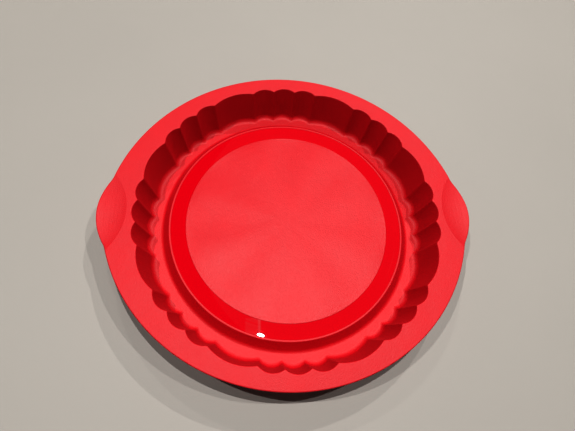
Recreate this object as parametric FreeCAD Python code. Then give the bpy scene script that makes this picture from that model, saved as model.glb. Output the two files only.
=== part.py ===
import FreeCAD, Part
import math
import os

# Moulded silicone pie dish: a fluted wall, a channel and a raised centre inside, and a flange with two grips.
# Millimetres, +Z up. The origin is under the middle of the dish, on the plane that it rests on.
# The two grips lie along X.

# Wall and floor
DISH_HEIGHT = 37.8
FLOOR_THICKNESS = 2.0
WALL_THICKNESS = 2.2
WALL_DRAFT_ANGLE = 12.0
FOOT_ROUNDING = 5.5
RIM_ROUNDING = 1.0
UNDER_FLANGE_ROUNDING = 1.6

# Flutes, measured in the plane of the flange
CREST_RADIUS = 140.0
FLUTE_DEPTH = 3.9
FLUTE_GROUPS = 8
SMALL_FLUTES_PER_GROUP = 3
SMALL_FLUTE_ANGLE = 9.0

# Channel and raised centre
CHANNEL_WIDTH = 7.1
CENTRE_HEIGHT = 11.6
CENTRE_THICKNESS = 2.0
CENTRE_SLOPE_ANGLE = 35.0
CENTRE_FOOT_ROUNDING = 4.2
LIP_WIDTH = 1.6
LIP_ROUNDING = 0.9
POLISHED_RING_WIDTH = 13.9
POLISHED_RING_DEPTH = 0.3

# Flange and grips, measured outwards from the crests
FLANGE_THICKNESS = 2.5
FLANGE_WIDTH = 13.1
FLANGE_EDGE_ROUNDING = 0.9
SIDE_CENTRE_OFFSET = 12.5
GRIP_LENGTH = 29.6
GRIP_RADIUS = 57.0
GRIP_CORNER_BLEND = 25.0
SCOOP_MARGIN = 4.4
SCOOP_HALF_WIDTH = 12.5
SCOOP_DEPTH = 1.2

# Bands that a rounding is drawn with
FOOT_BAND_COUNT = 2
EDGE_BAND_COUNT = 1

UP = FreeCAD.Vector(0, 0, 1)
ORIGIN = FreeCAD.Vector(0, 0, 0)
DRAFT = math.radians(WALL_DRAFT_ANGLE)
SLOPE = math.radians(CENTRE_SLOPE_ANGLE)


def point(x, y, z=0.0):
    return FreeCAD.Vector(x, y, z)


def polar(radius, degrees):
    angle = math.radians(degrees)
    return point(radius * math.cos(angle), radius * math.sin(angle))


def unit(vector):
    return vector * (1.0 / vector.Length)


def arc(start, middle, end):
    return Part.Arc(start, middle, end).toShape()


def banded_arc(radius, start, end, bands):
    """Steps around a rounding from one direction to another, in degrees, as (across, up) pairs."""
    angles = [math.radians(start + (end - start) * band / bands) for band in range(bands + 1)]
    return [(radius * math.cos(angle), radius * math.sin(angle)) for angle in angles]


def crossing(centre, radius, other_centre, other_radius):
    """Crossing of two circles that lies to the right on the way from one centre to the other."""
    across = other_centre - centre
    along = (across.Length ** 2 + radius ** 2 - other_radius ** 2) / (2.0 * across.Length)
    aside = math.sqrt(radius ** 2 - along ** 2)
    forward = unit(across)
    return centre + forward * along + point(forward.y, -forward.x) * aside


def flute(direction, half_angle, growth):
    """Circle of one flute, which runs from ridge to crest to ridge, grown outwards."""
    ridge_radius = CREST_RADIUS - FLUTE_DEPTH
    squares = CREST_RADIUS ** 2 - ridge_radius ** 2
    centre_distance = squares / (2.0 * (CREST_RADIUS - ridge_radius * math.cos(math.radians(half_angle))))
    return {
        "centre": polar(centre_distance, direction),
        "radius": CREST_RADIUS + growth - centre_distance,
        "crest": polar(CREST_RADIUS + growth, direction),
    }


def flutes(growth):
    """Each group is a run of small flutes about its own direction, then one long flute."""
    group_angle = 360.0 / FLUTE_GROUPS
    small_run = SMALL_FLUTES_PER_GROUP * SMALL_FLUTE_ANGLE
    found = []
    for group in range(FLUTE_GROUPS):
        first = group * group_angle - (small_run - SMALL_FLUTE_ANGLE) / 2.0
        for small in range(SMALL_FLUTES_PER_GROUP):
            found.append(flute(first + small * SMALL_FLUTE_ANGLE, SMALL_FLUTE_ANGLE / 2.0, growth))
        found.append(flute((group + 0.5) * group_angle, (group_angle - small_run) / 2.0, growth))
    return found


def fluted_wire(growth, crest_radius, z):
    """Closed fluted outline at height z, scaled about the axis until its crests reach crest_radius."""
    circles = flutes(growth)
    scale = crest_radius / (CREST_RADIUS + growth)

    def placed(vector):
        return point(vector.x * scale, vector.y * scale, z)

    ridges = []
    for index, one in enumerate(circles):
        before = circles[index - 1]
        ridges.append(placed(crossing(before["centre"], before["radius"], one["centre"], one["radius"])))
    ridges.append(ridges[0])
    return Part.Wire([arc(ridges[index], placed(one["crest"]), ridges[index + 1])
                      for index, one in enumerate(circles)])


def crest_on_wall(growth, z):
    """Radius that the crests have at height z on the sloping wall."""
    return CREST_RADIUS + growth / math.cos(DRAFT) - (DISH_HEIGHT - z) * math.tan(DRAFT)


def foot_radius(growth, bottom, rounding):
    """Radius of the crests where the rounded foot meets the level bottom."""
    return crest_on_wall(growth, bottom + rounding) - rounding / math.cos(DRAFT)


def fluted_block(growth, bottom, foot_rounding, top, top_rounding, rise):
    """Tapered fluted block with a rounded foot and a flared mouth, which then rises straight."""
    foot = foot_radius(growth, bottom, foot_rounding)
    mouth = crest_on_wall(growth, top - top_rounding) + top_rounding / math.cos(DRAFT)
    profile = []
    for across, up in banded_arc(foot_rounding, -90.0, -WALL_DRAFT_ANGLE, FOOT_BAND_COUNT):
        profile.append((foot + across, bottom + foot_rounding + up))
    for across, up in banded_arc(top_rounding, 180.0 - WALL_DRAFT_ANGLE, 90.0, EDGE_BAND_COUNT):
        profile.append((mouth + across, top - top_rounding + up))
    profile.append((mouth, top + rise))
    return Part.makeLoft([fluted_wire(growth, radius, z) for radius, z in profile], True, True)


def flange_wire(inset, z):
    """Border of the flange at height z, drawn in by an inset: two long sides, two grips, four blends."""
    side_centres = [point(0, -SIDE_CENTRE_OFFSET), point(0, SIDE_CENTRE_OFFSET)]
    grip_x = CREST_RADIUS + GRIP_LENGTH - GRIP_RADIUS
    grip_centres = [point(-grip_x, 0), point(grip_x, 0)]
    side_radius = CREST_RADIUS + FLANGE_WIDTH + SIDE_CENTRE_OFFSET
    lift = point(0, 0, z)
    circles = [
        (grip_centres[1], GRIP_RADIUS, polar(1, 0)),
        (side_centres[0], side_radius, polar(1, 90)),
        (grip_centres[0], GRIP_RADIUS, polar(1, 180)),
        (side_centres[1], side_radius, polar(1, 270)),
    ]
    joins = []
    for index, (centre, radius, outward) in enumerate(circles):
        other_centre, other_radius = circles[(index + 1) % len(circles)][:2]
        blend_centre = crossing(centre, radius + GRIP_CORNER_BLEND,
                                other_centre, other_radius + GRIP_CORNER_BLEND)
        blend = GRIP_CORNER_BLEND + inset
        leave = blend_centre + unit(centre - blend_centre) * blend
        arrive = blend_centre + unit(other_centre - blend_centre) * blend
        middle = blend_centre + unit(leave + arrive - blend_centre * 2.0) * blend
        joins.append((leave + lift, middle + lift, arrive + lift))
    edges = []
    for index, (centre, radius, outward) in enumerate(circles):
        leave, middle, arrive = joins[index]
        edges.append(arc(joins[index - 1][2], centre + outward * (radius - inset) + lift, leave))
        edges.append(arc(leave, middle, arrive))
    return Part.Wire(edges)


def flange():
    """Oval plate with a grip at each end and a rounded border."""
    bottom = DISH_HEIGHT - FLANGE_THICKNESS
    low = banded_arc(FLANGE_EDGE_ROUNDING, -90.0, 0.0, EDGE_BAND_COUNT)
    high = banded_arc(FLANGE_EDGE_ROUNDING, 0.0, 90.0, EDGE_BAND_COUNT)
    profile = [(FLANGE_EDGE_ROUNDING - across, bottom + FLANGE_EDGE_ROUNDING + up) for across, up in low]
    profile += [(FLANGE_EDGE_ROUNDING - across, DISH_HEIGHT - FLANGE_EDGE_ROUNDING + up) for across, up in high]
    return Part.makeLoft([flange_wire(inset, z) for inset, z in profile], True, True)


def grip_scoop(side):
    """Ring-shaped cutter whose outer circle is the inner edge of the thumb scoop."""
    inner_x = CREST_RADIUS + SCOOP_MARGIN
    inner_edge = point(inner_x, 0, DISH_HEIGHT)
    lowest = point(inner_x + SCOOP_HALF_WIDTH, 0, DISH_HEIGHT - SCOOP_DEPTH)
    outer_edge = point(inner_x + 2.0 * SCOOP_HALF_WIDTH, 0, DISH_HEIGHT)
    chord = Part.LineSegment(outer_edge, inner_edge).toShape()
    section = Part.Face(Part.Wire([arc(inner_edge, lowest, outer_edge), chord]))
    ring = section.revolve(point(inner_x + GRIP_RADIUS, 0), UP, 360)
    if side < 0:
        ring.rotate(ORIGIN, UP, 180)
    return ring


def rounded_corner(before, corner, after, rounding, bands):
    """Points around one corner of a section in the XZ plane."""
    towards_before = unit(before - corner)
    towards_after = unit(after - corner)
    half = towards_before.getAngle(towards_after) / 2.0
    centre = corner + unit(towards_before + towards_after) * (rounding / math.sin(half))
    start = corner + towards_before * (rounding / math.tan(half)) - centre
    end = corner + towards_after * (rounding / math.tan(half)) - centre
    start_angle = math.degrees(math.atan2(start.z, start.x))
    turn = math.degrees(math.atan2(end.z, end.x)) - start_angle
    turn = (turn + 180.0) % 360.0 - 180.0
    steps = banded_arc(rounding, start_angle, start_angle + turn, bands)
    return [centre + point(across, 0, up) for across, up in steps]


def turned(corners):
    """Solid turned about Z. Each corner of its section is (radius, z, rounding, bands)."""
    places = [point(radius, 0, z) for radius, z, rounding, bands in corners]
    outline = []
    for index, (radius, z, rounding, bands) in enumerate(corners):
        after = places[(index + 1) % len(places)]
        if rounding:
            outline += rounded_corner(places[index - 1], places[index], after, rounding, bands)
        else:
            outline.append(places[index])
    outline.append(outline[0])
    return Part.Face(Part.makePolygon(outline)).revolve(ORIGIN, UP, 360)


def raised_centre(joint_radius):
    """Raised centre out to the joint with the channel: polished ring, lip, sloping wall, hollow beneath."""
    foot_length = CENTRE_FOOT_ROUNDING / math.tan(math.pi / 4.0 + SLOPE / 2.0)
    lip_outer = joint_radius - foot_length - (CENTRE_HEIGHT - FLOOR_THICKNESS) * math.tan(SLOPE)
    ring_outer = lip_outer - LIP_WIDTH
    ring_inner = ring_outer - POLISHED_RING_WIDTH
    ring_top = CENTRE_HEIGHT - POLISHED_RING_DEPTH
    under = CENTRE_HEIGHT - CENTRE_THICKNESS

    def wall_radius(z):
        return lip_outer + (CENTRE_HEIGHT - z) * math.tan(SLOPE)

    def under_wall_radius(z):
        return wall_radius(z) - CENTRE_THICKNESS / math.cos(SLOPE)

    return turned([
        (0.0, under, 0, 0),
        (0.0, CENTRE_HEIGHT, 0, 0),
        (ring_inner, CENTRE_HEIGHT, 0, 0),
        (ring_inner, ring_top, 0, 0),
        (ring_outer, ring_top, 0, 0),
        (ring_outer, CENTRE_HEIGHT, 0, 0),
        (lip_outer, CENTRE_HEIGHT, LIP_ROUNDING, EDGE_BAND_COUNT),
        (wall_radius(FLOOR_THICKNESS), FLOOR_THICKNESS, CENTRE_FOOT_ROUNDING, FOOT_BAND_COUNT),
        (joint_radius, FLOOR_THICKNESS, 0, 0),
        (joint_radius, 0.0, 0, 0),
        (under_wall_radius(0.0), 0.0, CENTRE_FOOT_ROUNDING, FOOT_BAND_COUNT),
        (under_wall_radius(under), under, LIP_ROUNDING, EDGE_BAND_COUNT),
    ])


def pie_dish():
    overlap = FLANGE_THICKNESS / 2.0
    cup = fluted_block(WALL_THICKNESS, 0.0, FOOT_ROUNDING + FLOOR_THICKNESS,
                       DISH_HEIGHT - FLANGE_THICKNESS, UNDER_FLANGE_ROUNDING, overlap)
    cavity = fluted_block(0.0, FLOOR_THICKNESS, FOOT_ROUNDING, DISH_HEIGHT, RIM_ROUNDING, overlap)
    dish = cup.fuse(flange()).cut(cavity)
    joint_radius = foot_radius(0.0, FLOOR_THICKNESS, FOOT_ROUNDING) - CHANNEL_WIDTH
    dish = dish.cut(Part.makeCylinder(joint_radius, CENTRE_HEIGHT))
    dish = dish.fuse(raised_centre(joint_radius))
    for side in (1, -1):
        dish = dish.cut(grip_scoop(side))
    return dish.removeSplitter().Solids[0]


os.makedirs("parts", exist_ok=True)
pie_dish().exportStep("parts/pie_dish.step")
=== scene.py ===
import math

import bpy
from bpy.props import FloatProperty, FloatVectorProperty, IntProperty, PointerProperty
from mathutils import Matrix, Vector


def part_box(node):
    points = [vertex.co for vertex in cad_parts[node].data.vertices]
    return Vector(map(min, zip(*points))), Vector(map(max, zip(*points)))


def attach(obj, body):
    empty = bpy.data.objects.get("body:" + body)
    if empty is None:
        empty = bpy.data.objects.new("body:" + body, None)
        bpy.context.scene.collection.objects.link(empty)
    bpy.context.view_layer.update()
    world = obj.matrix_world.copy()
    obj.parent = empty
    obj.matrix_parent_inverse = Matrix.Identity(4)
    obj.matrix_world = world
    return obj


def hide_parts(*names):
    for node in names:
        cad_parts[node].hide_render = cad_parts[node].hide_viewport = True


bl_info = {
    "name": "Silicone Pie Dish",
    "version": (1, 0, 0),
    "blender": (4, 5, 0),
    "location": "View3D > Sidebar > Pie Dish",
    "description": "Makes a fluted silicone pie dish, with its finishes, and a small studio around it",
    "category": "Add Mesh",
}

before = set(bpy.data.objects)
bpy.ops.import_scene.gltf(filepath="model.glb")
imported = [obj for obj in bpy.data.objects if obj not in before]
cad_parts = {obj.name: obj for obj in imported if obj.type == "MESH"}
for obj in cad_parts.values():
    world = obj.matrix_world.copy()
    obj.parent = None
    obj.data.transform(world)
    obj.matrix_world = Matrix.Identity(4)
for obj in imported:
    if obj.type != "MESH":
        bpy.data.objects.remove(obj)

NODE = "pie_dish"

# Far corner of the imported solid's box, which gives the reach of the grips, of the flange, and the height
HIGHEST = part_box(NODE)[1]

# The flutes come in groups of three small ones, and one long flute fills the rest of each group
SMALL_FLUTES = 3
FULL_TURN = 2.0 * math.pi

# Powers of the curve by which the disc's waves grow from the axis and die out at the edge, and its peak
WAVE_GROWTH = 2.0
WAVE_DECAY = 10.0
WAVE_PEAK = 0.535

# How far the floor lies below the dish's base, in metres, so that the two don't share a plane
FLOOR_GAP = 0.0001

# How many steps a fine rounding has, how many one at a foot has, and how many the floor has all round
FINE_STEPS = 4
FOOT_STEPS = 9
FLOOR_STEPS = 96

# Rings under the raised centre, as shares of the way from the axis to its wall
CEILING_SHARES = (0.0, 0.04, 0.4)

# Rings on the flange, as shares of the way from the thumb hollow's inner edge to the border
HOLLOW_SHARES = (0.8, 0.6, 0.45, 0.3, 0.18, 0.08, 0.015, 0.0)

# Rings on the flange, as shares of the way from the fluted rim to the thumb hollow's inner edge
RIM_SHARES = (0.95, 0.4)

# Rings on the disc, as shares of the way from the axis to the polished ring
DISC_SHARES = (0.98, 0.93, 0.85, 0.75, 0.65, 0.55, 0.45, 0.35, 0.25, 0.15, 0.04, 0.0)

# A stretch of the section that is longer than this, in metres, gets a narrow row of faces at each end
LONG_STRETCH = 0.0050
NARROW_ROW = 0.0006

# By what share the steps around the dish lie closer together at a ridge than they would if even
RIDGE_CROWDING = 0.55

# Least distance from the thumb hollow's inner edge to the flange's border, in metres
BORDER_MARGIN = 0.0012

# Points as near as this, in metres, are one point, and a step as near to a full turn is a full turn
SAME_PLACE = 1e-6

# Edges between faces that turn by more than this stay sharp
SHARP_TURN = math.radians(32.0)

# A face has a finish where all its corners have it, so that the mean of their shares is above this
WHOLE_FACE = 0.99

# The Mix node's sockets for colours go by number, because its sockets for other kinds share their names
MIX_SHARE = 0
MIX_FIRST = 6
MIX_SECOND = 7
MIX_RESULT = 2


# Sizes, finishes and studio that a user would change

class DishSizes(bpy.types.PropertyGroup):
    """Sizes of the dish's section, flutes, flange and grips."""

    floor_thickness: FloatProperty(
        name="Floor Thickness", description="Thickness of the channel's floor", default=0.0020,
        unit="LENGTH")
    wall_thickness: FloatProperty(
        name="Wall Thickness", description="Thickness of the fluted wall", default=0.0022, unit="LENGTH")
    wall_draft: FloatProperty(
        name="Wall Draft", description="Lean of the fluted wall", default=math.radians(12.0),
        unit="ROTATION")
    foot_rounding: FloatProperty(
        name="Foot Rounding", description="Rounding between wall and floor, inside", default=0.0055,
        unit="LENGTH")
    rim_rounding: FloatProperty(
        name="Rim Rounding", description="Rounding between wall and flange, inside", default=0.0010,
        unit="LENGTH")
    under_flange_rounding: FloatProperty(
        name="Under Flange Rounding", description="Rounding between wall and flange, outside",
        default=0.0016, unit="LENGTH")

    flute_depth: FloatProperty(
        name="Flute Depth", description="From crest to ridge, in the plane of the flange", default=0.0039,
        unit="LENGTH")
    flute_groups: IntProperty(
        name="Flute Groups", description="Groups of small flutes around the dish", default=8, min=3)
    small_flute_angle: FloatProperty(
        name="Small Flute Angle", description="Angle that one small flute takes up",
        default=math.radians(9.0), unit="ROTATION")
    ridge_rounding: FloatProperty(
        name="Ridge Rounding", description="How far the edge between two flutes is softened",
        default=0.0018, unit="LENGTH")
    steps_per_flute: IntProperty(
        name="Steps per Flute", description="Faces across one flute", default=24, min=4)

    channel_width: FloatProperty(
        name="Channel Width", description="Level floor between the crests' foot and the centre's foot",
        default=0.0071, unit="LENGTH")
    centre_height: FloatProperty(
        name="Centre Height", description="Height of the matt disc over the base", default=0.0116,
        unit="LENGTH")
    centre_thickness: FloatProperty(
        name="Centre Thickness", description="Thickness of the raised centre", default=0.0020,
        unit="LENGTH")
    centre_slope: FloatProperty(
        name="Centre Slope", description="Lean of the raised centre's wall", default=math.radians(35.0),
        unit="ROTATION")
    centre_foot_rounding: FloatProperty(
        name="Centre Foot Rounding", description="Rounding at the foot of the raised centre",
        default=0.0042, unit="LENGTH")
    lip_width: FloatProperty(
        name="Lip Width", description="Width of the lip around the polished ring", default=0.0016,
        unit="LENGTH")
    lip_rounding: FloatProperty(
        name="Lip Rounding", description="Rounding of the lip's outer edge", default=0.0009,
        unit="LENGTH")
    ring_width: FloatProperty(
        name="Polished Ring Width", description="Width of the polished ring", default=0.0139,
        unit="LENGTH")
    ring_depth: FloatProperty(
        name="Polished Ring Depth", description="How far the polished ring lies below the disc",
        default=0.0003, unit="LENGTH")

    wave_height: FloatProperty(
        name="Wave Height", description="How far the disc rises towards the long flutes",
        default=0.00045, unit="LENGTH")

    flange_width: FloatProperty(
        name="Flange Width", description="From the crests to the border, across the grips",
        default=0.0131, unit="LENGTH")
    flange_thickness: FloatProperty(
        name="Flange Thickness", description="Thickness of the flange", default=0.0025, unit="LENGTH")
    edge_rounding: FloatProperty(
        name="Edge Rounding", description="Rounding of the flange's border", default=0.0009,
        unit="LENGTH")
    side_offset: FloatProperty(
        name="Side Offset", description="How far a side arc's centre lies past the middle",
        default=0.0125, unit="LENGTH")
    grip_radius: FloatProperty(
        name="Grip Radius", description="Radius of a grip's border and of its thumb hollow",
        default=0.0570, unit="LENGTH")
    corner_blend: FloatProperty(
        name="Corner Blend", description="Radius between a grip and the sides", default=0.0250,
        unit="LENGTH")
    hollow_margin: FloatProperty(
        name="Hollow Margin", description="From the crests to the thumb hollow", default=0.0044,
        unit="LENGTH")
    hollow_half_width: FloatProperty(
        name="Hollow Half Width", description="From the hollow's edge to its lowest line",
        default=0.0125, unit="LENGTH")
    hollow_depth: FloatProperty(
        name="Hollow Depth", description="Depth of the thumb hollow", default=0.0012, unit="LENGTH")


class DishFinishes(bpy.types.PropertyGroup):
    """Colours and finishes of the silicone."""

    silicone_colour: FloatVectorProperty(
        name="Silicone Colour", description="Colour of the silicone", default=(0.465, 0.0005, 0.0120),
        subtype="COLOR", min=0.0, max=1.0)
    matt_roughness: FloatProperty(
        name="Matt Roughness", description="Roughness of the textured silicone", default=0.54,
        min=0.0, max=1.0, subtype="FACTOR")
    matt_sheen: FloatProperty(
        name="Matt Sheen", description="Strength of the textured silicone's sheen", default=0.50,
        min=0.0, max=1.0, subtype="FACTOR")
    disc_roughness: FloatProperty(
        name="Disc Roughness", description="Roughness of the disc in the middle", default=0.43,
        min=0.0, max=1.0, subtype="FACTOR")
    disc_sheen: FloatProperty(
        name="Disc Sheen", description="Strength of the disc's sheen", default=0.395,
        min=0.0, max=1.0, subtype="FACTOR")
    polished_roughness: FloatProperty(
        name="Polished Roughness", description="Roughness of the polished ring", default=0.005,
        min=0.0, max=1.0, subtype="FACTOR")
    # Painted reflection: the next three settings place a pale fan, painted into the colour of the polished
    # ring beside the key lamp's highlight, standing in for the lamp's glare
    painted_glare_box: FloatVectorProperty(
        name="Painted Glare Box", description="Left, right, near and far edge of the scuff on the polished ring",
        size=4, default=(-0.0412, -0.0278, -0.1060, -0.0905), subtype="NONE", unit="LENGTH")
    painted_glare_edge: FloatProperty(
        name="Painted Glare Edge", description="Width of the scuff's soft edge", default=0.0012, unit="LENGTH")
    painted_glare_colour: FloatVectorProperty(
        name="Painted Glare Colour", description="Colour of the glare-painted silicone", default=(0.465, 0.060, 0.070),
        subtype="COLOR", min=0.0, max=1.0)
    grain_size: FloatProperty(
        name="Grain Size", description="Size of the textured silicone's grain", default=0.0006,
        unit="LENGTH")
    fleck_size: FloatProperty(
        name="Fleck Size", description="Size of the textured silicone's coarser flecks", default=0.0011,
        unit="LENGTH")


class StudioSettings(bpy.types.PropertyGroup):
    """Floor, lamps and camera."""

    floor_colour: FloatVectorProperty(
        name="Floor Colour", description="Colour of the floor", default=(0.31, 0.30, 0.287),
        subtype="COLOR", min=0.0, max=1.0)
    floor_radius: FloatProperty(
        name="Floor Radius", description="Radius of the level floor", default=1.5, unit="LENGTH")
    sweep_radius: FloatProperty(
        name="Sweep Radius", description="Radius of the sweep from the floor up to the studio's wall",
        default=0.5, unit="LENGTH")
    wall_height: FloatProperty(
        name="Wall Height", description="Height of the studio's wall", default=1.4, unit="LENGTH")
    camera_place: FloatVectorProperty(
        name="Camera Place", description="Where the camera stands", default=(-0.0442, -0.1660, 0.3896),
        subtype="TRANSLATION", unit="LENGTH")
    camera_heading: FloatProperty(
        name="Camera Heading", description="Turn of the view from the far side towards the right grip",
        default=math.radians(14.30), unit="ROTATION")
    camera_dip: FloatProperty(
        name="Camera Dip", description="How far the camera looks below the level",
        default=math.radians(64.69), unit="ROTATION")
    camera_roll: FloatProperty(
        name="Camera Roll", description="Turn of the camera about its line of sight",
        default=math.radians(12.96), unit="ROTATION")
    camera_lens: FloatProperty(
        name="Camera Lens", description="Focal length in millimetres, for a 36 mm wide sensor",
        default=27.0, min=1.0)
    camera_nearest: FloatProperty(
        name="Camera Nearest", description="Nearest distance that the camera shows", default=0.01,
        unit="LENGTH")
    lamp_height: FloatProperty(
        name="Lamp Height", description="Height of the lamps over the floor", default=2.4, unit="LENGTH")
    lamp_radius: FloatProperty(
        name="Lamp Radius", description="Mean radius of each lamp", default=0.0080, unit="LENGTH")
    lamp_stretch: FloatProperty(
        name="Lamp Stretch", description="How many times wider than its mean radius a lamp is",
        default=2.4, min=1.0)
    lamp_colour: FloatVectorProperty(
        name="Lamp Colour", description="Colour of the lamps", default=(1.0, 0.97, 0.93),
        subtype="COLOR", min=0.0, max=1.0)
    lamp_strength: FloatProperty(
        name="Lamp Strength", description="Power of the lamp overhead, in watts", default=41.5, min=0.0)
    glow_place: FloatVectorProperty(
        name="Glow Place", description="Middle of the softly lit part of the ceiling",
        default=(0.5, 1.0, 2.4), subtype="TRANSLATION", unit="LENGTH")
    glow_radius: FloatProperty(
        name="Glow Radius", description="Radius of the softly lit part of the ceiling", default=0.9,
        unit="LENGTH")
    glow_strength: FloatProperty(
        name="Glow Strength", description="Power of the softly lit part of the ceiling, in watts",
        default=1.3, min=0.0)
    sky_strength: FloatProperty(
        name="Sky Strength", description="Strength of the even light from all round", default=0.005,
        min=0.0)
    sky_colour: FloatVectorProperty(
        name="Sky Colour", description="Colour of the even light from all round",
        default=(1.0, 0.98, 0.96), subtype="COLOR", min=0.0, max=1.0)
    contrast: FloatProperty(
        name="Contrast", description="Exponent that deepens the darker tones of the picture",
        default=1.52, min=1.0, max=2.0)


# Lamps on the ceiling, in a near row and a far row: how far right and back each is from the dish, in
# metres, and its share of the lamp strength
LAMPS = {
    "key_lamp": (0.0745, 0.279, 1.0),
    "left_lamp": (-1.03, 0.24, 0.72),
    "right_lamp": (1.11, 0.24, 0.54),
    "far_left_lamp": (-0.35, 1.98, 0.26),
    "far_right_lamp": (1.00, 1.74, 0.72),
}


# Numbers inside a node tree

class Value:
    """A number in a node tree that adds, subtracts, multiplies and divides as a plain number does."""

    def __init__(self, tree, socket):
        self.tree = tree
        self.socket = socket

    def math(self, operation, *others):
        return calculated(self.tree, operation, self, *others)

    def __add__(self, other):
        return self.math("ADD", other)

    def __sub__(self, other):
        return self.math("SUBTRACT", other)

    def __rsub__(self, other):
        return calculated(self.tree, "SUBTRACT", other, self)

    def __mul__(self, other):
        return self.math("MULTIPLY", other)

    def __truediv__(self, other):
        return self.math("DIVIDE", other)

    def __rtruediv__(self, other):
        return calculated(self.tree, "DIVIDE", other, self)

    def __neg__(self):
        return self.math("MULTIPLY", -1.0)

    def size(self):
        """The value without its sign."""
        return self.math("ABSOLUTE")

    def sin(self):
        return self.math("SINE")

    def cos(self):
        return self.math("COSINE")

    def root(self):
        """Square root, which is nought below nought."""
        return self.math("MAXIMUM", 0.0).math("SQRT")

    def whole(self):
        return self.math("FLOOR")

    def clamped(self):
        """The value held between 0 and 1."""
        return self.math("MAXIMUM", 0.0).math("MINIMUM", 1.0)

    def mixed(self, other, share):
        """This value where share is 0, and the other where it is 1."""
        return self + (other - self) * share


def calculated(tree, operation, *sources):
    """Value that a math node works out from values and plain numbers."""
    node = tree.nodes.new("ShaderNodeMath")
    node.operation = operation
    for slot, source in zip(node.inputs, sources):
        feed(tree, slot, source)
    return Value(tree, node.outputs[0])


def feed(tree, slot, source):
    """Links a source to a node's socket, or writes a plain value on the socket."""
    if isinstance(source, Value):
        tree.links.new(source.socket, slot)
    elif isinstance(source, bpy.types.NodeSocket):
        tree.links.new(source, slot)
    else:
        slot.default_value = source


def add_node(tree, kind, inputs=None, **settings):
    """A node with its settings and its inputs, which are named or numbered."""
    node = tree.nodes.new(kind)
    for name, setting in settings.items():
        setattr(node, name, setting)
    for name, source in (inputs or {}).items():
        feed(tree, node.inputs[name], source)
    return node


# The section, as one line from the axis round under the dish and back over it

# What a ring has besides its radius and its height, as shares from 0 to 1 and lengths in metres
# fluted: share to which it follows the flutes
# growth: how far its flutes are grown outwards
# to_crease: share to which it lies at the thumb hollow's inner edge
# to_border: share to which it lies at the flange's border
# inset: how far in from the border it runs
# hollowed: share to which the thumb hollow lowers it
# polished: 1 on the polished ring
# disc: 1 on the disc
# wavy: share to which the disc's waves move it
RING_FIELDS = ("fluted", "growth", "to_crease", "to_border", "inset", "hollowed", "polished", "disc",
               "wavy")


class Station:
    """One point of the section and how its ring runs around the dish."""

    def __init__(self, radius, height, **ring):
        self.radius = radius
        self.height = height
        self.ring = {field: ring.get(field, 0.0) for field in RING_FIELDS}

    def reach(self):
        """About how far from the axis the ring runs."""
        own_share = 1.0 - self.ring["to_crease"] - self.ring["to_border"]
        return self.radius * own_share + HIGHEST.y * (1.0 - own_share) - self.ring["inset"]

    def towards(self, other, share):
        """Station part of the way to another."""
        ring = {field: own + (other.ring[field] - own) * share for field, own in self.ring.items()}
        return Station(self.radius + (other.radius - self.radius) * share,
                       self.height + (other.height - self.height) * share, **ring)


def with_narrow_rows(stations):
    """Adds a station close to each end of every long stretch, except on the disc."""
    found = [stations[0]]
    for before, after in zip(stations, stations[1:]):
        length = math.hypot(after.reach() - before.reach(), after.height - before.height)
        if length > LONG_STRETCH and not before.ring["disc"]:
            found.append(before.towards(after, NARROW_ROW / length))
            found.append(before.towards(after, 1.0 - NARROW_ROW / length))
        found.append(after)
    return found


def wave_share(share):
    """To what share the disc's waves have their full height, at a share of the disc's radius."""
    return (share ** WAVE_GROWTH - share ** WAVE_DECAY) / WAVE_PEAK


def rounding(radius, start, end, steps):
    """Steps around a rounding from one direction to another, in degrees, as (across, up) pairs."""
    angles = [math.radians(start + (end - start) * step / steps) for step in range(steps + 1)]
    return [(radius * math.cos(angle), radius * math.sin(angle)) for angle in angles]


def crest_on_wall(sizes, growth, height):
    """Radius of the crests at a height on the sloping wall."""
    crest = HIGHEST.y - sizes.flange_width
    lean = sizes.wall_draft
    return crest + growth / math.cos(lean) - (HIGHEST.z - height) * math.tan(lean)


def foot_radius(sizes, growth, bottom, foot):
    """Radius of the crests where the rounded foot meets the level bottom."""
    return crest_on_wall(sizes, growth, bottom + foot) - foot / math.cos(sizes.wall_draft)


def wall_stations(sizes, growth, bottom, foot, top, mouth):
    """Fluted wall from its rounded foot up to its flared mouth."""
    lean = math.degrees(sizes.wall_draft)
    foot_centre = foot_radius(sizes, growth, bottom, foot)
    mouth_centre = crest_on_wall(sizes, growth, top - mouth) + mouth / math.cos(sizes.wall_draft)
    ring = {"fluted": 1.0, "growth": growth}
    found = [Station(foot_centre + across, bottom + foot + up, **ring)
             for across, up in rounding(foot, -90.0, -lean, FOOT_STEPS)]
    found += [Station(mouth_centre + across, top - mouth + up, **ring)
              for across, up in rounding(mouth, 180.0 - lean, 90.0, FINE_STEPS)]
    return found


def rounded_corner(before, corner, after, radius, steps):
    """Points around one corner of the section, each with its radius and its height."""
    to_before = (before - corner).normalized()
    to_after = (after - corner).normalized()
    half = to_before.angle(to_after) / 2.0
    centre = corner + (to_before + to_after).normalized() * (radius / math.sin(half))
    start = corner + to_before * (radius / math.tan(half)) - centre
    end = corner + to_after * (radius / math.tan(half)) - centre
    start_angle = math.degrees(math.atan2(start.y, start.x))
    turn = math.degrees(math.atan2(end.y, end.x)) - start_angle
    turn = (turn + 180.0) % 360.0 - 180.0
    return [centre + Vector(step) for step in rounding(radius, start_angle, start_angle + turn, steps)]


def centre_radii(sizes):
    """Radii of the raised centre, from the channel's joint inwards."""
    slope = sizes.centre_slope
    joint = foot_radius(sizes, 0.0, sizes.floor_thickness, sizes.foot_rounding) - sizes.channel_width
    foot_length = sizes.centre_foot_rounding / math.tan(math.pi / 4.0 + slope / 2.0)
    rise = sizes.centre_height - sizes.floor_thickness
    lip_outer = joint - foot_length - rise * math.tan(slope)
    ring_outer = lip_outer - sizes.lip_width
    return {"joint": joint, "lip_outer": lip_outer, "ring_outer": ring_outer,
            "ring_inner": ring_outer - sizes.ring_width}


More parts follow.
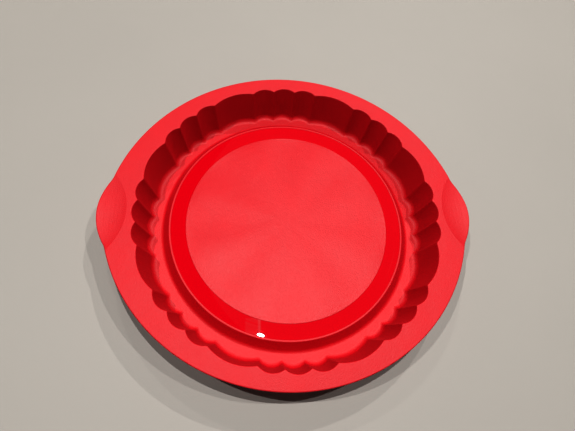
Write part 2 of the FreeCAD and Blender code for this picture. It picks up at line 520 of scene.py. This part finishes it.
def under_stations(sizes):
    """Hollow under the raised centre, from the axis to the level base."""
    radii = centre_radii(sizes)
    under = sizes.centre_height - sizes.centre_thickness
    lean = math.tan(sizes.centre_slope)
    across = sizes.centre_thickness / math.cos(sizes.centre_slope)

    def wall(height):
        return radii["lip_outer"] + (sizes.centre_height - height) * lean - across

    line = [Vector((wall(under) * share, under)) for share in CEILING_SHARES]
    top = Vector((wall(under), under))
    foot = Vector((wall(0.0), 0.0))
    joint = Vector((radii["joint"], 0.0))
    line += rounded_corner(line[-1], top, foot, sizes.lip_rounding, FINE_STEPS)
    line += rounded_corner(top, foot, joint, sizes.centre_foot_rounding, FOOT_STEPS)
    return [Station(place.x, place.y) for place in line]


def flange_stations(sizes):
    """Flange from under its mouth, round its border, and back over its thumb hollow to the rim."""
    top = HIGHEST.z
    bottom = top - sizes.flange_thickness
    edge = sizes.edge_rounding
    outer_mouth = crest_on_wall(sizes, sizes.wall_thickness, bottom - sizes.under_flange_rounding)
    outer_mouth += sizes.under_flange_rounding / math.cos(sizes.wall_draft)
    found = [Station(outer_mouth, bottom, fluted=1.0, growth=sizes.wall_thickness, to_border=0.5)]
    for across, up in rounding(edge, -90.0, 0.0, FINE_STEPS):
        found.append(Station(0.0, bottom + edge + up, to_border=1.0, inset=edge - across))
    for across, up in rounding(edge, 0.0, 90.0, FINE_STEPS):
        height = top - edge + up
        hollowed = (height - bottom) / sizes.flange_thickness
        found.append(Station(0.0, height, to_border=1.0, inset=edge - across, hollowed=hollowed))
    for share in HOLLOW_SHARES:
        found.append(Station(0.0, top, to_crease=1.0 - share, to_border=share, inset=edge, hollowed=1.0))
    rim = crest_on_wall(sizes, 0.0, top - sizes.rim_rounding)
    rim += sizes.rim_rounding / math.cos(sizes.wall_draft)
    for share in RIM_SHARES:
        found.append(Station(rim, top, fluted=1.0, to_crease=share, inset=edge))
    return found


def over_stations(sizes):
    """Raised centre from the channel's joint up to the lip, the polished ring, the disc and the axis."""
    radii = centre_radii(sizes)
    height = sizes.centre_height
    ring_height = height - sizes.ring_depth
    step = sizes.ring_depth / 2.0
    lean = math.tan(sizes.centre_slope)
    joint = Vector((radii["joint"], sizes.floor_thickness))
    foot = Vector((radii["lip_outer"] + (height - sizes.floor_thickness) * lean, sizes.floor_thickness))
    lip = Vector((radii["lip_outer"], height))
    ring_outer = Vector((radii["ring_outer"], height))
    line = rounded_corner(joint, foot, lip, sizes.centre_foot_rounding, FOOT_STEPS)
    line += rounded_corner(foot, lip, ring_outer, sizes.lip_rounding, FINE_STEPS)
    found = [Station(place.x, place.y) for place in line]
    found.append(Station(radii["ring_outer"] + step, height))
    found.append(Station(radii["ring_outer"], height - step))
    found.append(Station(radii["ring_outer"] - step, ring_height, polished=1.0))
    found.append(Station(radii["ring_inner"] + step, ring_height, polished=1.0))
    found.append(Station(radii["ring_inner"], height - step, disc=1.0))
    found.append(Station(radii["ring_inner"] - step, height, disc=1.0))
    for share in DISC_SHARES:
        found.append(Station(radii["ring_inner"] * share, height, disc=1.0, wavy=wave_share(share)))
    return found


def section_line(sizes):
    """Mesh line of the section, with each ring's fields on its points."""
    bottom = sizes.floor_thickness
    outside = wall_stations(sizes, sizes.wall_thickness, 0.0, sizes.foot_rounding + bottom,
                            HIGHEST.z - sizes.flange_thickness, sizes.under_flange_rounding)
    inside = wall_stations(sizes, 0.0, bottom, sizes.foot_rounding, HIGHEST.z, sizes.rim_rounding)
    stations = under_stations(sizes) + outside + flange_stations(sizes)
    stations += list(reversed(inside)) + over_stations(sizes)
    stations = with_narrow_rows(stations)
    mesh = bpy.data.meshes.new("pie_dish_section")
    places = [(station.radius, 0.0, station.height) for station in stations]
    mesh.from_pydata(places, [(index, index + 1) for index in range(len(places) - 1)], [])
    for field in RING_FIELDS:
        attribute = mesh.attributes.new(field, "FLOAT", "POINT")
        for index, station in enumerate(stations):
            attribute.data[index].value = station.ring[field]
    return mesh


# The tree that turns the section into the fluted dish

TREE_SIZES = {
    "Crest Radius": lambda sizes: HIGHEST.y - sizes.flange_width,
    "Flute Depth": lambda sizes: sizes.flute_depth,
    "Flute Groups": lambda sizes: float(sizes.flute_groups),
    "Small Flute Angle": lambda sizes: sizes.small_flute_angle,
    "Ridge Rounding": lambda sizes: sizes.ridge_rounding,
    "Side Radius": lambda sizes: HIGHEST.y + sizes.side_offset,
    "Side Offset": lambda sizes: sizes.side_offset,
    "Grip Radius": lambda sizes: sizes.grip_radius,
    "Grip Centre": lambda sizes: HIGHEST.x - sizes.grip_radius,
    "Corner Blend": lambda sizes: sizes.corner_blend,
    "Hollow Centre": lambda sizes: (HIGHEST.y - sizes.flange_width + sizes.hollow_margin
                                    + sizes.grip_radius),
    "Hollow Half Width": lambda sizes: sizes.hollow_half_width,
    "Hollow Depth": lambda sizes: sizes.hollow_depth,
    "Wave Height": lambda sizes: sizes.wave_height,
}


def ray_leaves_circle(distance, radius, angle):
    """How far from the axis a ray at this angle to the circle's centre leaves the circle."""
    aside = distance * angle.sin()
    return distance * angle.cos() + (radius * radius - aside * aside).root()


def ray_meets_circle(distance, radius, angle):
    """How far from the axis a ray at this angle to the circle's centre first meets the circle.

    Where it misses the circle, a metre is added.
    """
    aside = distance * angle.sin()
    missed = aside.size().math("GREATER_THAN", radius)
    return distance * angle.cos() - (radius * radius - aside * aside).root() + missed


def part_of_turn(count):
    """Angle of one part when a full turn is divided into count parts."""
    return FULL_TURN / count


def touch_angle(centre_x, centre_y, blend_x, blend_y, share):
    """Angle about the axis of the point where an arc and its blend touch."""
    touch_x = (blend_x - centre_x) * share + centre_x
    touch_y = (blend_y - centre_y) * share + centre_y
    return touch_y.math("ARCTAN2", touch_x)


def fluted_outline(size, angle, growth):
    """Radius of the fluted outline, grown outwards, at each angle."""
    crest = size["Crest Radius"]
    ridge = crest - size["Flute Depth"]
    squares = crest * crest - ridge * ridge
    small = size["Small Flute Angle"]
    group = part_of_turn(size["Flute Groups"])
    half_long = (group - small * SMALL_FLUTES) * 0.5
    folded = (angle + group * 0.5).math("MODULO", group) - group * 0.5

    def flute(aside, half_angle):
        centre = squares / ((crest - ridge * half_angle.cos()) * 2.0)
        return ray_leaves_circle(centre, crest + growth - centre, aside)

    outline = flute(group * 0.5 - folded.size(), half_long)
    for index in range(SMALL_FLUTES):
        place = small * (index - (SMALL_FLUTES - 1) / 2.0)
        outline = outline.math("SMOOTH_MAX", flute(folded - place, small * 0.5), size["Ridge Rounding"])
    return outline


def flute_angles(size, turns):
    """Angle around the dish for each step, with the steps closer together near the ridges."""
    small = size["Small Flute Angle"]
    group = part_of_turn(size["Flute Groups"])
    place = turns * size["Flute Groups"]
    number = place.whole()
    along = (place - number) * (SMALL_FLUTES + 1.0)
    flute = along.whole()
    across = along - flute
    across = across - (across * FULL_TURN).sin() * (RIDGE_CROWDING / FULL_TURN)
    is_long = flute.math("GREATER_THAN", SMALL_FLUTES - 0.5)
    width = small.mixed(group - small * SMALL_FLUTES, is_long)
    return number * group + small * (flute - SMALL_FLUTES / 2.0) + across * width


def border_outline(size, folded, inset):
    """Radius of the flange's border, drawn in by an inset: side arcs, grips and their blends."""
    quarter_turn = math.pi / 2.0
    side_centre = -size["Side Offset"]
    grip_centre = size["Grip Centre"]
    side_radius = size["Side Radius"]
    grip_radius = size["Grip Radius"]
    side = ray_leaves_circle(side_centre, side_radius - inset, folded - quarter_turn)
    grip = ray_leaves_circle(grip_centre, grip_radius - inset, folded)
    to_side = side_radius + size["Corner Blend"]
    to_grip = grip_radius + size["Corner Blend"]
    apart = (grip_centre * grip_centre + side_centre * side_centre).root()
    along = (apart * apart + to_grip * to_grip - to_side * to_side) / (apart * 2.0)
    aside = (to_grip * to_grip - along * along).root()
    forward_x = -grip_centre / apart
    forward_y = side_centre / apart
    blend_x = grip_centre + forward_x * along + forward_y * aside
    blend_y = forward_y * along - forward_x * aside
    blend_distance = (blend_x * blend_x + blend_y * blend_y).root()
    blend_angle = blend_y.math("ARCTAN2", blend_x)
    blend = ray_meets_circle(blend_distance, size["Corner Blend"] + inset, folded - blend_angle)
    leave = touch_angle(grip_centre, 0.0, blend_x, blend_y, (grip_radius - inset) / to_grip)
    arrive = touch_angle(0.0, side_centre, blend_x, blend_y, (side_radius - inset) / to_side)
    outline = grip.mixed(blend, folded.math("GREATER_THAN", leave))
    return outline.mixed(side, folded.math("GREATER_THAN", arrive))


def crease_outline(size, folded, border):
    """Radius of the thumb hollow's inner edge, which stays inside the border."""
    crease = ray_meets_circle(size["Hollow Centre"], size["Grip Radius"], folded)
    return crease.math("MINIMUM", border - BORDER_MARGIN)


def sunk_by_hollow(size, x, y):
    """How far the thumb hollow, a trough with a round bottom along its inner edge, lowers a point."""
    half_width = size["Hollow Half Width"]
    depth = size["Hollow Depth"]
    from_centre_x = x.size() - size["Hollow Centre"]
    from_centre = (from_centre_x * from_centre_x + y * y).root()
    from_middle = size["Grip Radius"] - from_centre - half_width
    bowl = (half_width * half_width + depth * depth) / (depth * 2.0)
    return ((bowl * bowl - from_middle * from_middle).root() - bowl + depth).math("MAXIMUM", 0.0)


def tree_sockets(tree):
    """Gives the tree its named inputs and its output."""
    kinds = {"Geometry": "NodeSocketGeometry", "Steps Around": "NodeSocketInt",
             "Stations": "NodeSocketInt"}
    kinds.update({name: "NodeSocketFloat" for name in TREE_SIZES})
    kinds.update({name: "NodeSocketMaterial"
                  for name in ("Matt Silicone", "Disc Silicone", "Polished Silicone")})
    tree.interface.new_socket("Geometry", in_out="OUTPUT", socket_type="NodeSocketGeometry")
    for name, kind in kinds.items():
        tree.interface.new_socket(name, in_out="INPUT", socket_type=kind)


def dish_tree():
    """Tree that spins the section about the axis, flutes it and gives each region its finish."""
    tree = bpy.data.node_groups.new("Fluted Dish", "GeometryNodeTree")
    tree_sockets(tree)
    source = tree.nodes.new("NodeGroupInput").outputs
    size = {name: Value(tree, source[name]) for name in TREE_SIZES}
    stations = Value(tree, source["Stations"])

    grid = add_node(tree, "GeometryNodeMeshGrid", {"Size X": 1.0, "Size Y": 1.0})
    feed(tree, grid.inputs["Vertices X"], Value(tree, source["Steps Around"]) + 1.0)
    feed(tree, grid.inputs["Vertices Y"], source["Stations"])
    drawn = add_node(tree, "GeometryNodeInputPosition").outputs[0]
    place = add_node(tree, "ShaderNodeSeparateXYZ", {0: drawn})
    turns = Value(tree, place.outputs["X"]) + 0.5
    row = ((Value(tree, place.outputs["Y"]) + 0.5) * (stations - 1.0)).math("ROUND")

    def sampled(kind, field):
        """The field at this row's station of the section."""
        node = add_node(tree, "GeometryNodeSampleIndex", {"Geometry": source["Geometry"]},
                        data_type=kind)
        value = next(slot for slot in node.inputs if slot.name == "Value" and slot.enabled)
        feed(tree, value, field)
        feed(tree, node.inputs["Index"], row)
        return next(slot for slot in node.outputs if slot.enabled)

    ring = {}
    for field in RING_FIELDS:
        named = add_node(tree, "GeometryNodeInputNamedAttribute", {"Name": field}, data_type="FLOAT")
        ring[field] = Value(tree, sampled("FLOAT", named.outputs["Attribute"]))
    section = add_node(tree, "ShaderNodeSeparateXYZ", {0: sampled("FLOAT_VECTOR", drawn)})
    radius = Value(tree, section.outputs["X"])
    height = Value(tree, section.outputs["Z"])

    short_of_full_turn = turns.math("LESS_THAN", 1.0 - SAME_PLACE)
    angle = flute_angles(size, turns * short_of_full_turn)
    sine = angle.sin()
    cosine = angle.cos()
    outline = fluted_outline(size, angle, ring["growth"])
    fluted = radius.mixed(radius * outline / (size["Crest Radius"] + ring["growth"]), ring["fluted"])
    folded = sine.size().math("ARCTAN2", cosine.size())
    border = border_outline(size, folded, ring["inset"])
    crease = crease_outline(size, folded, border)
    fluted_share = 1.0 - ring["to_crease"] - ring["to_border"]
    reach = fluted * fluted_share + crease * ring["to_crease"] + border * ring["to_border"]

    x = reach * cosine
    y = reach * sine
    sunk = sunk_by_hollow(size, x, y)
    wave = -(angle * size["Flute Groups"]).cos()
    z = height - sunk * ring["hollowed"] + wave * size["Wave Height"] * ring["wavy"]

    kept = add_node(tree, "GeometryNodeCaptureAttribute", {"Geometry": grid.outputs["Mesh"]})
    for name, field in (("Disc", "disc"), ("Polished", "polished")):
        kept.capture_items.new("FLOAT", name)
        feed(tree, kept.inputs[name], ring[field])
    moved = add_node(tree, "GeometryNodeSetPosition", {
        "Geometry": kept.outputs["Geometry"],
        "Position": add_node(tree, "ShaderNodeCombineXYZ", {"X": x, "Y": y, "Z": z}).outputs[0]})
    closed = add_node(tree, "GeometryNodeMergeByDistance", {
        "Geometry": moved.outputs[0], "Distance": SAME_PLACE})
    turn = Value(tree, add_node(tree, "GeometryNodeInputMeshEdgeAngle").outputs["Unsigned Angle"])
    smooth = add_node(tree, "GeometryNodeSetShadeSmooth", {
        "Geometry": closed.outputs[0], "Selection": turn.math("GREATER_THAN", SHARP_TURN),
        "Shade Smooth": False}, domain="EDGE")
    real = add_node(tree, "GeometryNodeRealizeInstances", {"Geometry": smooth.outputs[0]})
    finished = add_node(tree, "GeometryNodeSetMaterial",
                        {"Geometry": real.outputs[0], "Material": source["Matt Silicone"]})
    for material, name in (("Disc Silicone", "Disc"), ("Polished Silicone", "Polished")):
        whole_face = Value(tree, kept.outputs[name]).math("GREATER_THAN", WHOLE_FACE)
        finished = add_node(tree, "GeometryNodeSetMaterial", {
            "Geometry": finished.outputs[0], "Material": source[material], "Selection": whole_face})
    feed(tree, tree.nodes.new("NodeGroupOutput").inputs["Geometry"], finished.outputs[0])
    return tree


# Finishes of the silicone and the floor

class Surface:
    """A material's tree, with the textures that the finishes are made from."""

    def __init__(self, name):
        self.material = bpy.data.materials.new(name)
        self.material.use_nodes = True
        self.tree = self.material.node_tree
        self.shader = self.tree.nodes["Principled BSDF"]
        self.place = add_node(self.tree, "ShaderNodeTexCoord").outputs["Object"]

    def noise(self, scale, detail=2.0, place=None):
        """Noise from about 0.3 to 0.7, with its scale in waves per metre."""
        node = add_node(self.tree, "ShaderNodeTexNoise", {
            "Vector": place or self.place, "Scale": scale, "Detail": detail})
        return Value(self.tree, node.outputs["Fac"])

    def across(self):
        """The place's X and Y."""
        node = add_node(self.tree, "ShaderNodeSeparateXYZ", {0: self.place})
        return [Value(self.tree, node.outputs[name]) for name in ("X", "Y")]

    def tint(self, colour, share, other):
        """Colour that changes to the other as the share goes from 0 to 1."""
        node = add_node(self.tree, "ShaderNodeMix", data_type="RGBA")
        feed(self.tree, node.inputs[MIX_SHARE], share)
        feed(self.tree, node.inputs[MIX_FIRST], (*colour, 1.0))
        feed(self.tree, node.inputs[MIX_SECOND], (*other, 1.0))
        feed(self.tree, self.shader.inputs["Base Color"], node.outputs[MIX_RESULT])

    def bumps(self, layers):
        """Bump layers, each (height value, depth in metres), added up into one normal."""
        normal = None
        for height, depth in layers:
            node = add_node(self.tree, "ShaderNodeBump", {
                "Height": height, "Distance": depth, "Strength": 1.0})
            if normal:
                feed(self.tree, node.inputs["Normal"], normal)
            normal = node.outputs[0]
        feed(self.tree, self.shader.inputs["Normal"], normal)


def window(value, low, high, edge):
    """One between two values and nought outside, with soft edges."""
    middle = (low + high) / 2.0
    return (((high - low) / 2.0 - (value - middle).size()) / edge + 0.5).clamped()


def matt_silicone(name, finishes, roughness, sheen):
    """Fine-grained moulded silicone, slightly uneven in its gloss and depth of colour."""
    clouds_per_metre = 45.0
    darkest, lightest = 0.94, 1.04
    cloud_gloss, grain_gloss = 0.06, 0.04
    cloud_depth, fleck_depth, grain_depth = 0.0004, 0.00014, 0.00012

    surface = Surface(name)
    colour = Vector(finishes.silicone_colour)
    clouds = surface.noise(clouds_per_metre, detail=3.0)
    flecks = surface.noise(1.0 / finishes.fleck_size, detail=1.0)
    grain = surface.noise(1.0 / finishes.grain_size, detail=1.0)
    surface.tint(colour * darkest, clouds, colour * lightest)
    least = roughness - (cloud_gloss + grain_gloss) / 2.0
    rough = clouds * cloud_gloss + grain * grain_gloss + least
    feed(surface.tree, surface.shader.inputs["Roughness"], rough)
    surface.bumps([(clouds, cloud_depth), (flecks, fleck_depth), (grain, grain_depth)])
    surface.shader.inputs["Specular IOR Level"].default_value = sheen
    return surface.material


def polished_silicone(finishes):
    """Silicone from a polished part of the mould, with faint scratches around the axis and a painted
    reflection of a lamp's glare.
    """
    marks_per_metre, marks_per_radian = 500.0, 1.5
    clouds_per_metre = 60.0
    scratch_level, scratch_paleness, scratch_depth = 0.64, 0.8, 0.00004
    # Painted reflection of the lamp's glare: the level taken off the marks inside the pale fan, and the
    # extra paleness of its bright right edge
    painted_glare_level, painted_glare_rim_paleness = 0.3, 0.5
    brightness = 1.05
    gloss_change = 0.002

    surface = Surface("polished_silicone")
    colour = Vector(finishes.silicone_colour)
    x, y = surface.across()
    radius = (x * x + y * y).root()
    around = y.math("ARCTAN2", x)
    turned = add_node(surface.tree, "ShaderNodeCombineXYZ", {
        "X": radius * marks_per_metre, "Y": around * marks_per_radian}).outputs[0]
    marks = surface.noise(1.0, place=turned)
    clouds = surface.noise(clouds_per_metre)
    scratches = (marks - scratch_level).math("MAXIMUM", 0.0)
    # Painted reflection: a pale fan with a brighter right edge (rim), painted into the colour in the box
    # beside the key lamp's highlight, standing in for the lamp's glare
    edge = finishes.painted_glare_edge
    left, right, near, far = finishes.painted_glare_box
    painted_glare = window(x, left, right, edge) * window(y, near, far, edge)
    rim = window(x, right - edge * 2.0, right, edge)
    # Paleness: the painted glare fan and its painted bright edge, plus the scratches, which are paler wear
    # of their own
    pale = painted_glare * ((marks - painted_glare_level) + rim * painted_glare_rim_paleness) + scratches * scratch_paleness
    surface.tint(colour * brightness, pale, finishes.painted_glare_colour)
    rough = (marks + clouds) * gloss_change + (finishes.polished_roughness - gloss_change)
    feed(surface.tree, surface.shader.inputs["Roughness"], rough)
    surface.bumps([(scratches, scratch_depth)])
    return surface.material


def floor_finish(studio):
    """Plain pale floor with a slight unevenness."""
    clouds_per_metre = 6.0
    darkest, lightest = 0.97, 1.03
    least_roughness, cloud_gloss = 0.55, 0.1

    surface = Surface("pale_floor")
    colour = Vector(studio.floor_colour)
    clouds = surface.noise(clouds_per_metre, detail=3.0)
    surface.tint(colour * darkest, clouds, colour * lightest)
    feed(surface.tree, surface.shader.inputs["Roughness"], clouds * cloud_gloss + least_roughness)
    return surface.material


# The piece and the stage

def put_tree_on(piece, tree, inputs):
    """Puts the tree on the piece, with its inputs set by their sockets' identifiers."""
    modifier = piece.modifiers.new("Fluted Dish", "NODES")
    for item in tree.interface.items_tree:
        if item.item_type == "SOCKET" and item.in_out == "INPUT" and item.name in inputs:
            modifier[item.identifier] = inputs[item.name]
    modifier.node_group = tree


def settle(piece):
    """Turns what the piece's modifiers make into its own plain mesh, without empty material slots."""
    piece.update_tag()
    view = bpy.context.evaluated_depsgraph_get()
    mesh = bpy.data.meshes.new_from_object(piece.evaluated_get(view))
    for index in reversed(range(len(mesh.materials))):
        if mesh.materials[index] is None:
            mesh.materials.pop(index=index)
    piece.modifiers.clear()
    piece.data = mesh


class PIEDISH_OT_mould_dish(bpy.types.Operator):
    """Mould the fluted dish in one piece"""

    bl_idname = "pie_dish.mould_dish"
    bl_label = "Mould Dish"
    bl_options = {"REGISTER", "UNDO"}

    def execute(self, context):
        sizes = context.scene.pie_dish_sizes
        finishes = context.scene.pie_dish_finishes
        section = section_line(sizes)
        dish = bpy.data.objects.new("fluted_dish", section)
        context.scene.collection.objects.link(dish)
        inputs = {name: measure(sizes) for name, measure in TREE_SIZES.items()}
        inputs["Steps Around"] = sizes.flute_groups * (SMALL_FLUTES + 1) * sizes.steps_per_flute
        inputs["Stations"] = len(section.vertices)
        inputs["Matt Silicone"] = matt_silicone(
            "matt_silicone", finishes, finishes.matt_roughness, finishes.matt_sheen)
        inputs["Disc Silicone"] = matt_silicone(
            "disc_silicone", finishes, finishes.disc_roughness, finishes.disc_sheen)
        inputs["Polished Silicone"] = polished_silicone(finishes)
        put_tree_on(dish, dish_tree(), inputs)
        settle(dish)
        if not dish.data.polygons:
            raise RuntimeError("the dish's tree made no faces")
        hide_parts(NODE)
        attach(dish, "root")
        return {"FINISHED"}


def add_lamp(name, place, radius, power, colour, stretch=1.0):
    """Round or oval lamp that shines from its place at the middle of the dish."""
    lamp = bpy.data.lights.new(name, "AREA")
    lamp.shape = "ELLIPSE"
    lamp.size = radius * 2.0 * stretch
    lamp.size_y = radius * 2.0 / stretch
    lamp.energy = power
    lamp.color = colour
    holder = bpy.data.objects.new(name, lamp)
    holder.location = place
    holder.rotation_euler = Vector(place).to_track_quat("Z", "Y").to_euler()
    bpy.context.scene.collection.objects.link(holder)


def studio_floor(studio):
    """Round level floor that sweeps up into a wall on all sides."""
    profile = [(studio.floor_radius + across, studio.sweep_radius + up - FLOOR_GAP)
               for across, up in rounding(studio.sweep_radius, -90.0, 0.0, FOOT_STEPS)]
    profile.append((profile[-1][0], studio.wall_height))
    places = [Matrix.Rotation(FULL_TURN * step / FLOOR_STEPS, 3, "Z") @ Vector((radius, 0.0, height))
              for radius, height in profile for step in range(FLOOR_STEPS)]
    faces = [tuple(range(FLOOR_STEPS))]
    for row in range(len(profile) - 1):
        below = row * FLOOR_STEPS
        above = below + FLOOR_STEPS
        for step in range(FLOOR_STEPS):
            after = (step + 1) % FLOOR_STEPS
            faces.append((below + after, below + step, above + step, above + after))
    mesh = bpy.data.meshes.new("floor")
    mesh.from_pydata(places, [], faces)
    mesh.shade_smooth()
    mesh.materials.append(floor_finish(studio))
    return bpy.data.objects.new("floor", mesh)


def studio_world(studio):
    """World that gives the even light from all round."""
    world = bpy.data.worlds.new("studio")
    world.use_nodes = True
    sky = world.node_tree.nodes["Background"]
    sky.inputs["Color"].default_value = (*studio.sky_colour, 1.0)
    sky.inputs["Strength"].default_value = studio.sky_strength
    return world


def studio_camera(studio):
    """Camera that stands over the near left of the dish and looks down on it."""
    lens = bpy.data.cameras.new("camera")
    lens.lens = studio.camera_lens
    lens.clip_start = studio.camera_nearest
    camera = bpy.data.objects.new("camera", lens)
    heading = Matrix.Rotation(-studio.camera_heading, 4, "Z")
    tilt = Matrix.Rotation(math.pi / 2.0 - studio.camera_dip, 4, "X")
    roll = Matrix.Rotation(studio.camera_roll, 4, "Z")
    camera.matrix_world = Matrix.Translation(studio.camera_place) @ heading @ tilt @ roll
    return camera


class PIEDISH_OT_set_studio(bpy.types.Operator):
    """Set up the floor, the lamps and the camera"""

    bl_idname = "pie_dish.set_studio"
    bl_label = "Set Studio"
    bl_options = {"REGISTER", "UNDO"}

    def execute(self, context):
        studio = context.scene.pie_dish_studio
        scene = context.scene
        floor = studio_floor(studio)
        scene.collection.objects.link(floor)

        scene.world = studio_world(studio)
        scene.view_settings.view_transform = "Standard"
        scene.view_settings.gamma = 1.0 / studio.contrast
        for name, (right, back, share) in LAMPS.items():
            add_lamp(name, (right, back, studio.lamp_height), studio.lamp_radius,
                     studio.lamp_strength * share, studio.lamp_colour, studio.lamp_stretch)
        add_lamp("ceiling_glow", studio.glow_place, studio.glow_radius, studio.glow_strength,
                 studio.lamp_colour)
        camera = studio_camera(studio)
        scene.collection.objects.link(camera)
        scene.camera = camera
        return {"FINISHED"}


class VIEW3D_PT_pie_dish(bpy.types.Panel):
    """Lists the dish's operators and settings"""

    bl_idname = "VIEW3D_PT_pie_dish"
    bl_label = "Pie Dish"
    bl_space_type = "VIEW_3D"
    bl_region_type = "UI"
    bl_category = "Pie Dish"

    def draw(self, context):
        for operator in (PIEDISH_OT_mould_dish, PIEDISH_OT_set_studio):
            self.layout.operator(operator.bl_idname)
        for settings in (context.scene.pie_dish_sizes, context.scene.pie_dish_finishes,
                         context.scene.pie_dish_studio):
            box = self.layout.box()
            for name in settings.__annotations__:
                box.prop(settings, name)


CLASSES = (DishSizes, DishFinishes, StudioSettings, PIEDISH_OT_mould_dish, PIEDISH_OT_set_studio,
           VIEW3D_PT_pie_dish)


def register():
    for one in CLASSES:
        bpy.utils.register_class(one)
    bpy.types.Scene.pie_dish_sizes = PointerProperty(type=DishSizes)
    bpy.types.Scene.pie_dish_finishes = PointerProperty(type=DishFinishes)
    bpy.types.Scene.pie_dish_studio = PointerProperty(type=StudioSettings)


def unregister():
    del bpy.types.Scene.pie_dish_studio
    del bpy.types.Scene.pie_dish_finishes
    del bpy.types.Scene.pie_dish_sizes
    for one in reversed(CLASSES):
        bpy.utils.unregister_class(one)


def main():
    """Makes the dish and its studio."""
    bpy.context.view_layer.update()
    register()
    bpy.ops.pie_dish.mould_dish()
    bpy.ops.pie_dish.set_studio()


if __name__ == "__main__":
    main()
